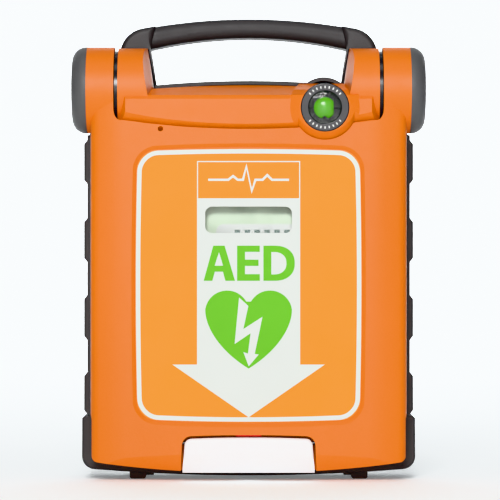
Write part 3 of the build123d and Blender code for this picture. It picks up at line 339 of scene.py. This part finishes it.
def pouch_foil(name):
    """Pale green foil with fine creases, a crimped seam, a blank strip with bars and a pads pictogram."""
    paint = Paint(name)
    paint.set(Metallic=0.1)
    crease = paint.noise(60, 8)
    # Colour follows the crease height: darker in the hollows as painted shade and lighter on the ridges as
    # painted light.
    paint.colour(paint.ramp(crease, FOIL_CREASE_SHADE, FOIL_RIDGE_LIGHT))
    paint.rough(crease, 0.3, 0.5)
    paint.bump(crease, 0.0004, 0.6)
    x, _, z = paint.axes()
    low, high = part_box("pads_package")
    middle = (low.z + high.z) / 2
    reach_x = paint.math("SUBTRACT", high.x, paint.math("ABSOLUTE", x))
    from_middle = paint.math("ABSOLUTE", paint.math("SUBTRACT", z, middle))
    reach_z = paint.math("SUBTRACT", (high.z - low.z) / 2, from_middle)
    edge = paint.math("MINIMUM", reach_x, reach_z)
    ridges = paint.math("SINE", paint.math("MULTIPLY", edge, 2 * math.pi / SEAM_PITCH))
    paint.bump(paint.math("MULTIPLY", ridges, paint.math("LESS_THAN", edge, SEAM)), SEAM_DEPTH)
    cut_x, cut_z = STRIP_LEFT + STRIP_CORNER, STRIP_HIGH - STRIP_CORNER
    over_x = paint.math("MAXIMUM", paint.math("SUBTRACT", cut_x, x), 0)
    over_z = paint.math("MAXIMUM", paint.math("SUBTRACT", z, cut_z), 0)
    rounded = paint.math("LESS_THAN", paint.squares(over_x, over_z), STRIP_CORNER ** 2)
    strip = paint.panel(STRIP_LEFT, STRIP_RIGHT, STRIP_LOW, STRIP_HIGH)
    paint.recolour(paint.math("MULTIPLY", strip, rounded), STRIP_WHITE)
    for step in range(BAR_COUNT):
        start = (step * BAR_PITCH - BAR_SHIFT) * MM
        paint.recolour(paint.panel(start, start + BAR_LONG, BAR_LOW, BAR_HIGH), STRIP_INK)
    for centre, foot in ((-PAD_ACROSS, PAD_FOOT_LEFT), (PAD_ACROSS, PAD_FOOT_RIGHT)):
        for line, colour in ((0, STRIP_INK), (PAD_LINE, STRIP_WHITE)):
            half = PAD_HALF - line
            pad = paint.panel(centre - half, centre + half, foot + line, foot + PAD_HIGH - line)
            paint.recolour(pad, colour)
    return paint


def ring_plastic(name):
    """Glossy dark collar with small white ticks printed round its face."""
    paint = moulded(name, RING_DARK, 0.22, depth=0.00001)
    low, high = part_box("indicator_ring")
    x, y, z = paint.axes()
    across = paint.math("SUBTRACT", x, (low.x + high.x) / 2)
    up = paint.math("SUBTRACT", z, (low.z + high.z) / 2)
    reach = paint.math("SQRT", paint.squares(across, up))
    angle = paint.math("ARCTAN2", up, across)
    turns = paint.math("DIVIDE", angle, TICK_STEP)
    tick = paint.between(paint.math("FRACT", turns), TICK_START, TICK_END)
    band = paint.between(reach, TICK_IN, TICK_OUT)
    arcs = paint.between(paint.math("ABSOLUTE", angle), TICKS_FROM, TICKS_TO)
    front = paint.math("LESS_THAN", y, low.y + 0.1 * MM)
    mask = paint.math("MULTIPLY", paint.math("MULTIPLY", tick, band), paint.math("MULTIPLY", arcs, front))
    paint.recolour(mask, TICK_WHITE)
    return paint


def flip_disc(name):
    """Enamelled disc, green on its front face and red on its back face."""
    paint = moulded(name, DISC_GREEN, 0.16, depth=0.00001, vary=0.03, scuffs=0.02)
    low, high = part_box("indicator_disc")
    _, y, _ = paint.axes()
    paint.recolour(paint.math("GREATER_THAN", y, (low.y + high.y) / 2), DISC_RED)
    return paint


def liquid_crystal(name):
    """Reflective display with a plain trace and a row of blank cells."""
    paint = moulded(name, srgb(158, 170, 154), 0.3, depth=0.00001, vary=0.02)
    low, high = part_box("display_module")
    for step in range(CELL_COUNT):
        start = low.x + SCREEN_EDGE + step * CELL_PITCH
        cell = paint.panel(start, start + CELL_LONG, low.z + CELL_LOW, low.z + CELL_HIGH)
        paint.recolour(cell, srgb(78, 88, 80))
    x, _, z = paint.axes()
    wave = paint.math("MULTIPLY", paint.math("SINE", paint.math("MULTIPLY", x, TRACE_WAVE)), TRACE_SWING)
    above = paint.math("SUBTRACT", z, low.z + TRACE_HIGH)
    trace = paint.math("LESS_THAN", paint.math("ABSOLUTE", paint.math("SUBTRACT", above, wave)), TRACE_HALF)
    inside = paint.between(x, low.x + SCREEN_EDGE, high.x - SCREEN_EDGE)
    paint.recolour(paint.math("MULTIPLY", trace, inside), srgb(60, 70, 64))
    return paint


def board_mask(name):
    """Green solder mask with darker copper runs under it."""
    paint = Paint(name)
    wave = paint.add("ShaderNodeTexWave", wave_type="BANDS", bands_direction="X")
    wave.inputs["Scale"].default_value = 180
    wave.inputs["Distortion"].default_value = 4
    paint.join(paint.place, wave.inputs["Vector"])
    paint.colour(paint.ramp(wave.outputs["Fac"], BOARD_DARK, BOARD_LIGHT, (0.45, 0.55)))
    paint.set(Roughness=0.35)
    return paint


ORANGE = (0.64, 0.148, 0.002, 1)
AMBER = (0.8, 0.268, 0.001, 1)
DARK_GREY = (0.045, 0.042, 0.043, 1)
CAP_GREY = (0.092, 0.092, 0.094, 1)
# Foil colours for the crease hollows (painted shade) and the crease ridges (painted light).
FOIL_CREASE_SHADE = (0.5, 0.64, 0.47, 1)
FOIL_RIDGE_LIGHT = (0.74, 0.92, 0.7, 1)
STRIP_WHITE = (0.76, 0.82, 0.79, 1)
STRIP_INK = (0.16, 0.25, 0.22, 1)
STRIP_LEFT = -21 * MM
STRIP_RIGHT = 34 * MM
STRIP_LOW = 151 * MM
STRIP_HIGH = 165.8 * MM
STRIP_CORNER = 5 * MM
SEAM = 7 * MM
SEAM_PITCH = 1.6 * MM
SEAM_DEPTH = 0.25 * MM
BAR_COUNT = 6
BAR_PITCH = 6.4
BAR_SHIFT = 9
BAR_LONG = 3.6 * MM
BAR_LOW = STRIP_HIGH - 5.6 * MM
BAR_HIGH = STRIP_HIGH - 3.6 * MM
PAD_ACROSS = 30 * MM
PAD_FOOT_LEFT = 132 * MM
PAD_FOOT_RIGHT = 112 * MM
PAD_HALF = 14 * MM
PAD_HIGH = 18 * MM
PAD_LINE = 1.4 * MM
SCREEN_EDGE = 6 * MM
CELL_COUNT = 8
CELL_PITCH = 6.5 * MM
CELL_LONG = 4.4 * MM
CELL_LOW = 6 * MM
CELL_HIGH = 9 * MM
TRACE_WAVE = 620.0
TRACE_SWING = 4 * MM
TRACE_HIGH = 24 * MM
TRACE_HALF = 0.5 * MM
BOARD_DARK = (0.01, 0.12, 0.04, 1)
BOARD_LIGHT = (0.02, 0.2, 0.07, 1)
RING_DARK = (0.022, 0.021, 0.024, 1)
TICK_WHITE = (0.6, 0.6, 0.58, 1)
TICK_STEP = math.radians(12)
TICK_START = 0.36
TICK_END = 0.64
TICKS_FROM = math.radians(40)
TICKS_TO = math.radians(140)
TICK_IN = 12.2 * MM
TICK_OUT = 13.7 * MM
DISC_GREEN = (0.13, 0.56, 0.015, 1)
DISC_RED = (0.6, 0.02, 0.015, 1)
PADDLE_WHITE = (0.93, 0.92, 0.93, 1)
MATERIALS = {
    "shell_orange": moulded("shell_orange", ORANGE, 0.5, gloss=0.45),
    "case_grey": moulded("case_grey", DARK_GREY, 0.5, depth=0.00008),
    "cap_grey": moulded("cap_grey", CAP_GREY, 0.5),
    "bumper_rubber": moulded("bumper_rubber", shade(DARK_GREY, 1.05), 0.6, depth=0.00008),
    "grip_rubber": moulded("grip_rubber", DARK_GREY, 0.55, depth=0.00008),
    "ring_black": ring_plastic("ring_black"),
    "gasket": moulded("gasket", srgb(34, 34, 34), 0.65),
    "deck_grey": moulded("deck_grey", srgb(150, 152, 154), 0.5),
    "liner_grey": moulded("liner_grey", srgb(200, 200, 196), 0.5),
    "panel_grey": moulded("panel_grey", srgb(104, 106, 110), 0.45),
    "panel_white": moulded("panel_white", srgb(226, 226, 224), 0.35, depth=0.00002),
    "button_orange": moulded("button_orange", srgb(236, 92, 40), 0.25, depth=0.00001),
    "button_blue": moulded("button_blue", srgb(60, 112, 180), 0.35, depth=0.00002),
    "paddle_white": moulded("paddle_white", PADDLE_WHITE, 0.36, depth=0.00003, vary=0.015, scuffs=0.02),
    "keeper_red": moulded("keeper_red", srgb(206, 30, 34), 0.35, depth=0.00002),
    "battery_case": moulded("battery_case", srgb(92, 92, 94), 0.5),
    "cell_wrap": moulded("cell_wrap", srgb(86, 148, 92), 0.3, depth=0.00001),
    "core": moulded("core", srgb(70, 70, 72), 0.6),
    "bush": moulded("bush", srgb(230, 226, 214), 0.4, depth=0.00001),
    "display": liquid_crystal("display"),
    "status_green": flip_disc("status_green"),
    "label": printed("label", AMBER),
    "clear": clear("clear", (0.02, 0.03, 0.026, 1), 0.02),
    "pouch": pouch_foil("pouch"),
    "board": board_mask("board"),
    "capacitor": metal("capacitor", (0.72, 0.73, 0.74, 1), 0.3),
    "copper": metal("copper", (0.72, 0.33, 0.14, 1), 0.35, (60, 1, 60)),
    "contact": metal("contact", (0.88, 0.62, 0.24, 1), 0.25),
    "steel": metal("steel", (0.62, 0.62, 0.61, 1), 0.28),
}
PRINT_WHITE = printed("print_white", (0.57, 0.6, 0.57, 1))
PRINT_GREEN = printed("print_green", (0.13, 0.4, 0.037, 1))
# The latch pin is dark metal so that it reads as the shade inside the latch gap: painted shade.
PIN_SHADED = metal("pin_shaded", (0.1, 0.1, 0.1, 1), 0.4)

for name, node in nodes.items():
    node.data.materials.clear()
    node.data.materials.append((PIN_SHADED if name == "latch_pin" else MATERIALS[slot_of[name]]).material)


# ---- printed graphics on the label ----
label_low, label_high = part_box("lid_label")
LABEL_FACE = label_low.y
CROWN = 0.5 * MM
CROWN_HALF = 76 * MM
FILM = 0.12 * MM
CUT_PITCH = 6
LABEL_CORNER = 13.5
SIDE_BOW, LOW_BOW, HIGH_BOW = 1.3, 1.9, 1.5


def label_y(x):
    """Front face of the label, which follows the slight crown of the lid."""
    return LABEL_FACE + CROWN * (x / CROWN_HALF) ** 2


def film_piece(name, loops, paint, layer=1):
    """Thin printed film cut to closed (x, z) outlines in millimetres; inner loops are holes."""
    curve = bpy.data.curves.new(name, "CURVE")
    curve.dimensions = "2D"
    curve.fill_mode = "BOTH"
    curve.extrude = FILM / 2
    for loop in loops:
        spline = curve.splines.new("POLY")
        spline.points.add(len(loop) - 1)
        for point, (x, z) in zip(spline.points, loop):
            point.co = (x * MM, z * MM, 0, 1)
        spline.use_cyclic_u = True
    source = bpy.data.objects.new(name + "_outline", curve)
    link(source)
    mesh = bpy.data.meshes.new_from_object(source)
    bpy.data.objects.remove(source)
    shape = bmesh.new()
    shape.from_mesh(mesh)
    for step in range(-12, 13):
        everything = shape.verts[:] + shape.edges[:] + shape.faces[:]
        place = (step * CUT_PITCH * MM, 0, 0)
        bmesh.ops.bisect_plane(shape, geom=everything, plane_co=place, plane_no=(1, 0, 0))
    for vert in shape.verts:
        x, z, depth = vert.co
        vert.co = (x, label_y(x) - FILM * (layer - 0.5) - depth, z)
    bmesh.ops.remove_doubles(shape, verts=shape.verts, dist=1e-6)
    bmesh.ops.recalc_face_normals(shape, faces=shape.faces)
    shape.to_mesh(mesh)
    shape.free()
    piece = bpy.data.objects.new(name, mesh)
    link(piece)
    mesh.materials.clear()
    mesh.materials.append(paint.material)
    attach(piece, "lid")
    return piece


def arc(x, z, radius, start, end, steps=12):
    """Points on a circle from start to end, in degrees anticlockwise seen from the front."""
    turn = (end - start) / steps
    return [(x + radius * math.cos(math.radians(start + turn * i)),
             z + radius * math.sin(math.radians(start + turn * i))) for i in range(steps + 1)]


def rounded_loop(half, low, high, radius):
    """Rectangle with rounded corners, centred on x = 0."""
    side, top, bottom = half - radius, high - radius, low + radius
    return (arc(side, top, radius, 90, 0) + arc(side, bottom, radius, 0, -90)
            + arc(-side, bottom, radius, -90, -180) + arc(-side, top, radius, 180, 90))


def label_loop(inset):
    """The label's outline: a rounded panel whose four sides bow outwards."""
    half = label_high.x / MM - inset
    low = label_low.z / MM + inset
    high = label_high.z / MM - inset
    middle, reach = (low + high) / 2, (high - low) / 2
    flat = rounded_loop(half - SIDE_BOW, low + LOW_BOW, high - HIGH_BOW, LABEL_CORNER - inset)
    full = []
    for (x0, z0), (x1, z1) in zip(flat, flat[1:] + flat[:1]):
        pieces = max(1, round(math.dist((x0, z0), (x1, z1)) / CUT_PITCH))
        full += [(x0 + (x1 - x0) * i / pieces, z0 + (z1 - z0) * i / pieces) for i in range(pieces)]
    loop = []
    for x, z in full:
        across, up = x / half, (z - middle) / reach
        bow = HIGH_BOW if z > middle else LOW_BOW
        loop.append((x + math.copysign(SIDE_BOW, x) * max(0, 1 - up ** 2) * abs(across) ** 3,
                     z + math.copysign(bow, z - middle) * max(0, 1 - across ** 2) * abs(up) ** 3))
    return loop


def mirrored(half_loop):
    return half_loop + [(-x, z) for x, z in reversed(half_loop) if abs(x) > 1e-6]


SHAFT_HALF = 33.2
SHAFT_TOP = 182.4
FRAME_TOP = 206.3
BARB_HALF = 49.2
BARB_TOP = 75.6
ARROW_TIP = 41.6
LINE = 0.8
HOLE_HALF = 27.9
HOLE_LOW = 159.9
HOLE_HIGH = 177.0
HOLE_CORNER = 4.5
BORDER_OUT = 0.25
BORDER_IN = 3.2

window_hole = rounded_loop(HOLE_HALF, HOLE_LOW, HOLE_HIGH, HOLE_CORNER)
film_piece("label_border", [label_loop(BORDER_OUT), label_loop(BORDER_IN)], PRINT_WHITE)
arrow = [(SHAFT_HALF, SHAFT_TOP), (SHAFT_HALF, BARB_TOP), (BARB_HALF, BARB_TOP), (0, ARROW_TIP)]
film_piece("label_arrow", [mirrored(arrow), window_hole], PRINT_WHITE)
box_outer = [(SHAFT_HALF, FRAME_TOP), (SHAFT_HALF, SHAFT_TOP)]
box_inner = [(SHAFT_HALF - LINE, FRAME_TOP - LINE), (SHAFT_HALF - LINE, SHAFT_TOP)]
film_piece("label_frame", [mirrored(box_outer), mirrored(box_inner)], PRINT_WHITE)


MITRE_MOST = 2.5
MITRE_LEAST = 0.2


def stroked(points, half):
    """Outline of a line of even width that runs through points."""
    near, far = [], []
    for i, point in enumerate(points):
        here = Vector(point)
        before = (here - Vector(points[i - 1])).normalized() if i else None
        after = (Vector(points[i + 1]) - here).normalized() if i + 1 < len(points) else None
        along = ((before or after) + (after or before)).normalized()
        side = Vector((-along.y, along.x))
        square = Vector((-(after or before).y, (after or before).x))
        side *= min(MITRE_MOST, 1 / max(MITRE_LEAST, side.dot(square)))
        near.append(tuple(here + side * half))
        far.append(tuple(here - side * half))
    return near + far[::-1]


PULSE_MID = 194.2
PULSE = [(-26, PULSE_MID), (-13, PULSE_MID), (-10, PULSE_MID + 2.4), (-7, PULSE_MID), (-3.6, PULSE_MID),
         (-1.4, PULSE_MID + 8.6), (2.0, PULSE_MID - 7.2), (4.4, PULSE_MID), (9, PULSE_MID),
         (12, PULSE_MID + 3), (15, PULSE_MID), (26, PULSE_MID)]
film_piece("label_pulse", [stroked(PULSE, LINE)], PRINT_WHITE)


LETTER_LOW = 129.3
LETTER_HIGH = 22.6
LETTER_WIDE = 20.2
E_WIDE = 14.6
STROKE = 5.1
BAR = 4.0
BOWL_STEPS = 24
BOWL_SQUARE = 1.15


def letter_a(left, low, wide, high):
    """Block letter A as an outline and its counter."""
    middle, right, top = left + wide / 2, left + wide, low + high
    bar_low, bar_high = low + 0.26 * high, low + 0.43 * high
    apex_left, apex_right = 3.9, 3.4
    foot_left, foot_right = 5.6, 6.2
    rise = (wide / 2 - apex_left) / high * (bar_low - low)
    outer = [(left, low), (middle - apex_left, top), (middle + apex_right, top), (right, low),
             (right - foot_right, low), (right - foot_right - rise, bar_low),
             (left + foot_left + rise, bar_low), (left + foot_left, low)]
    counter = [(middle - 3.0, bar_high), (middle + 2.4, bar_high), (middle - 0.2, top - 4.2)]
    return [outer, counter]


def letter_e(left, low, wide, high):
    """Block letter E, whose middle bar is a little shorter than the others."""
    raised, shorter = 0.3, 0.8
    spine, top, right = left + STROKE, low + high, left + wide
    middle = low + high / 2 + raised
    bar_low, bar_high, foot_top = middle - BAR / 2, middle + BAR / 2, low + BAR + raised
    return [[(left, low), (left, top), (right, top), (right, top - BAR), (spine, top - BAR),
             (spine, bar_high), (right - shorter, bar_high), (right - shorter, bar_low), (spine, bar_low),
             (spine, foot_top), (right, foot_top), (right, low)]]


def bowl(left, low, wide, high, straight):
    """Upright on the left and a half ellipse on the right."""
    centre_z = low + high / 2
    start = left + straight
    points = [(left, low), (left, low + high)]
    for step in range(BOWL_STEPS + 1):
        angle = math.radians(90 - 180 * step / BOWL_STEPS)
        across = abs(math.cos(angle)) ** (1 / BOWL_SQUARE)
        up = math.copysign(abs(math.sin(angle)) ** (1 / BOWL_SQUARE), math.sin(angle))
        points.append((start + (left + wide - start) * across, centre_z + high / 2 * up))
    return points


def letter_d(left, low, wide, high):
    """Block letter D as an outline and its counter."""
    inset = 4.1
    counter = bowl(left + STROKE, low + inset, wide - 2 * STROKE - 0.3, high - 2 * inset, 1.5)
    return [bowl(left, low, wide, high, 7.0), counter]


film_piece("letter_a", letter_a(-28.9, LETTER_LOW, LETTER_WIDE, LETTER_HIGH), PRINT_GREEN, 2)
film_piece("letter_e", letter_e(-7.4, LETTER_LOW, E_WIDE, LETTER_HIGH), PRINT_GREEN, 2)
film_piece("letter_d", letter_d(9.5, LETTER_LOW, LETTER_WIDE, LETTER_HIGH), PRINT_GREEN, 2)

HEART_NOTCH = (0.0, 116.0)
HEART_TIP = (0.0, 72.9)
HEART_PULLS = ((27.9, 99.0), (18.0, 84.0))
LOBE_CENTRE = (13.8, 108.9)
LOBE_RADIUS = 14.2
HEART_STEPS = 18


def heart_loop():
    """Heart with two round lobes and sides that swell down to the point."""
    half = [HEART_NOTCH] + arc(*LOBE_CENTRE, LOBE_RADIUS, 150, 8, HEART_STEPS)
    corners = (half[-1], *HEART_PULLS, HEART_TIP)
    for step in range(1, HEART_STEPS + 1):
        t = step / HEART_STEPS
        u = 1 - t
        weights = (u ** 3, 3 * u * u * t, 3 * u * t * t, t ** 3)
        half.append(tuple(sum(weight * corner[axis] for weight, corner in zip(weights, corners))
                          for axis in (0, 1)))
    return mirrored(half)


film_piece("label_heart", [heart_loop()], PRINT_GREEN, 2)
BOLT = [(-6.1, 118.6), (-9.0, 88.7), (1.3, 95.7), (-0.4, 82.5), (-3.4, 83.6), (0.1, 74.4), (6.5, 82.0),
        (3.9, 82.3), (8.9, 106.2), (-3.4, 98.3), (-0.2, 113.2)]
film_piece("label_bolt", [BOLT], PRINT_WHITE, 3)


# ---- pads pouch behind the window ----
COLUMNS, ROWS = 96, 66
RIPPLE_SCALE = 55
RIPPLE = 0.8
PUCKER_WAVE = 420
PUCKER = 2.2
SKIN = 0.25 * MM
SWELL_SPARE = 1.4 * MM


def pouch_bulge(across, up):
    """Half thickness of the pouch, from 0 at the seam to 1 in the middle; across and up run from -1 to 1."""
    return ((1 - across ** 6) * (1 - up ** 6)) ** 0.6 * (1 - 0.12 * (across ** 2 + up ** 2))


def pads_pouch():
    """Two foil skins that swell over the folded pads and meet in a flat seam with rounded corners."""
    low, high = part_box("pads_package")
    centre, reach = (low + high) / 2, (high - low) / 2
    seam_across, seam_up = SEAM / reach.x, SEAM / reach.z
    shape = bmesh.new()
    skins = []
    for facing in (-1, 1):
        grid = []
        for j in range(ROWS + 1):
            line = []
            for i in range(COLUMNS + 1):
                u, v = 2 * i / COLUMNS - 1, 2 * j / ROWS - 1
                inner_u = min(1, abs(u) / (1 - seam_across))
                inner_v = min(1, abs(v) / (1 - seam_up))
                swell = pouch_bulge(inner_u, inner_v)
                x, z = centre.x + u * reach.x, centre.z + v * reach.z
                place = Vector((x * RIPPLE_SCALE, facing * 3, z * RIPPLE_SCALE))
                ripple = noise.noise(place) * RIPPLE * MM * min(1, swell * 3)
                pucker = math.sin(x * PUCKER_WAVE) * (1 - inner_v) ** 2 * inner_v * PUCKER * MM
                depth = SKIN + swell * (reach.y - SWELL_SPARE) + ripple + abs(pucker) * 0.2
                line.append(shape.verts.new((x, centre.y + facing * depth, z)))
            grid.append(line)
        for j in range(ROWS):
            for i in range(COLUMNS):
                corners = (grid[j][i], grid[j][i + 1], grid[j + 1][i + 1], grid[j + 1][i])
                shape.faces.new(corners if facing < 0 else corners[::-1])
        skins.append(grid)
    front, back = skins
    rim = ([(j, 0) for j in range(ROWS, 0, -1)] + [(0, i) for i in range(COLUMNS)]
           + [(j, COLUMNS) for j in range(ROWS)] + [(ROWS, i) for i in range(COLUMNS, 0, -1)])
    for (j0, i0), (j1, i1) in zip(rim, rim[1:] + rim[:1]):
        shape.faces.new((front[j0][i0], back[j0][i0], back[j1][i1], front[j1][i1]))
    bmesh.ops.recalc_face_normals(shape, faces=shape.faces)
    mesh = bpy.data.meshes.new("pads_pouch")
    shape.to_mesh(mesh)
    shape.free()
    smooth(mesh)
    mesh.materials.append(MATERIALS["pouch"].material)
    pouch = bpy.data.objects.new("pads_pouch", mesh)
    link(pouch)
    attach(pouch, "base")
    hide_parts("pads_package")


pads_pouch()
